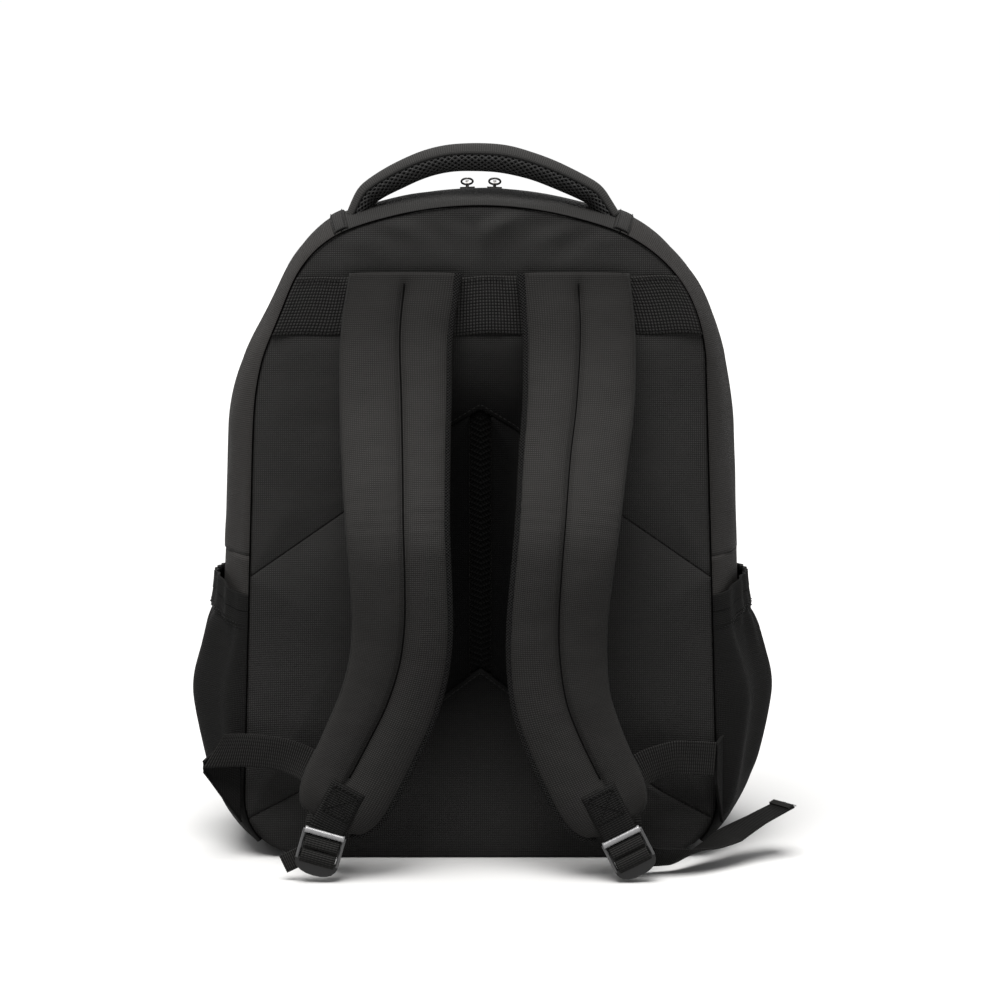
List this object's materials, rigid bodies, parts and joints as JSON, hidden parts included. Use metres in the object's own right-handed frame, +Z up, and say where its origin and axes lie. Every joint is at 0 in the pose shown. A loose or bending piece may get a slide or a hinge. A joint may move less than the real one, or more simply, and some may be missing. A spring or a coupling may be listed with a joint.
{
  "type": "school backpack",
  "caption": "Upright fabric backpack with padded back panel, two padded shoulder straps, a carrying handle, zipped main and front compartments and open side pockets.",
  "frame": {"origin": "on the floor under the middle of the main body, on the flat outer face of the bottom panel", "axes": "+Z up, -Y towards the wearer's back (the side of the shoulder straps), +X to the right as seen when looking at the shoulder straps"},
  "size_m": [0.3958, 0.2534, 0.4692],
  "materials": {
    "oxford": "woven polyester",
    "spacer_mesh": "knitted spacer mesh",
    "webbing": "ribbed webbing",
    "elastic": "elastic hem",
    "zip_tape": "zip tape and coil",
    "lining": "smooth lining",
    "foam_board": "foam board",
    "plastic": "moulded acetal",
    "zip_metal": "black-lacquered zinc alloy"
  },
  "bodies": {
    "root": {"back_panel_upper": "oxford", "back_panel_lower": "oxford", "back_pad_left": "oxford", "back_pad_right": "oxford", "back_channel_mesh": "spacer_mesh", "back_stiffener": "foam_board", "anchor_webbing_band": "webbing", "back_seam_piping": "oxford", "left_side_panel": "oxford", "right_side_panel": "oxford", "left_gusset": "oxford", "right_gusset": "oxford", "top_gusset": "oxford", "bottom_panel": "oxford", "front_lower_panel": "oxford", "laptop_sleeve": "lining", "main_zip_tape_rear": "zip_tape", "left_handle_tab": "webbing", "right_handle_tab": "webbing", "left_side_pocket": "oxford", "right_side_pocket": "oxford", "left_pocket_elastic": "elastic", "right_pocket_elastic": "elastic", "front_pocket_shell": "oxford", "front_pocket_zip_tape": "zip_tape", "left_strap_wing": "oxford", "right_strap_wing": "oxford", "left_adjuster_webbing": "webbing", "right_adjuster_webbing": "webbing"},
    "flap": {"flap_panel": "oxford", "flap_gusset": "oxford", "main_zip_tape_front": "zip_tape"},
    "handle": {"handle_grip": "oxford", "handle_mesh_face": "spacer_mesh"},
    "left_slider": {"left_main_slider": "zip_metal"},
    "left_pull": {"left_main_pull": "zip_metal"},
    "right_slider": {"right_main_slider": "zip_metal"},
    "right_pull": {"right_main_pull": "zip_metal"},
    "pocket_slider": {"front_pocket_slider": "zip_metal"},
    "pocket_pull": {"front_pocket_pull": "zip_metal"},
    "left_strap": {"left_shoulder_strap": "oxford", "left_strap_lining": "spacer_mesh", "left_strap_end_tab": "webbing"},
    "right_strap": {"right_shoulder_strap": "oxford", "right_strap_lining": "spacer_mesh", "right_strap_end_tab": "webbing"},
    "left_lock": {"left_ladder_lock": "plastic", "left_webbing_tail": "webbing"},
    "right_lock": {"right_ladder_lock": "plastic", "right_webbing_tail": "webbing"}
  },
  "joints": [
    {"name": "flap_fold", "type": "hinge", "parent": "root", "child": "flap", "pos_m": [0, 0.0652, 0.203], "axis": [-1, 0, 0], "range_deg": [0, 80]},
    {"name": "handle_fold", "type": "hinge", "parent": "root", "child": "handle", "pos_m": [0, -0.045, 0.429], "axis": [1, 0, 0], "range_deg": [-20, 40]},
    {"name": "left_slider_travel", "type": "hinge", "parent": "root", "child": "left_slider", "pos_m": [0, 0, 0.192], "axis": [0, -1, 0], "range_deg": [0, 16.5]},
    {"name": "right_slider_travel", "type": "hinge", "parent": "root", "child": "right_slider", "pos_m": [0, 0, 0.192], "axis": [0, 1, 0], "range_deg": [0, 16.5]},
    {"name": "left_pull_swing", "type": "hinge", "parent": "left_slider", "child": "left_pull", "pos_m": [-0.00921, 0, 0.44318], "axis": [1, 0, 0], "range_deg": [-135, 15]},
    {"name": "right_pull_swing", "type": "hinge", "parent": "right_slider", "child": "right_pull", "pos_m": [0.00921, 0, 0.44318], "axis": [1, 0, 0], "range_deg": [-135, 15]},
    {"name": "pocket_slider_travel", "type": "slide", "parent": "root", "child": "pocket_slider", "axis": [-1, 0, 0], "range_m": [0, 0.15]},
    {"name": "pocket_pull_swing", "type": "hinge", "parent": "pocket_slider", "child": "pocket_pull", "pos_m": [0.08, 0.1101, 0.168], "axis": [1, 0, 0], "range_deg": [0, 75]},
    {"name": "left_strap_swing", "type": "hinge", "parent": "root", "child": "left_strap", "pos_m": [-0.055, -0.082, 0.384], "axis": [-1, 0, 0], "range_deg": [0, 12]},
    {"name": "left_lock_tilt", "type": "hinge", "parent": "left_strap", "child": "left_lock", "pos_m": [-0.09848, -0.13767, 0.03137], "axis": [0.9613, 0, -0.2756], "range_deg": [-15, 15]},
    {"name": "right_strap_swing", "type": "hinge", "parent": "root", "child": "right_strap", "pos_m": [0.055, -0.082, 0.384], "axis": [-1, 0, 0], "range_deg": [0, 12]},
    {"name": "right_lock_tilt", "type": "hinge", "parent": "right_strap", "child": "right_lock", "pos_m": [0.08998, -0.13766, 0.02936], "axis": [0.891, 0, 0.454], "range_deg": [-15, 2]}
  ]
}
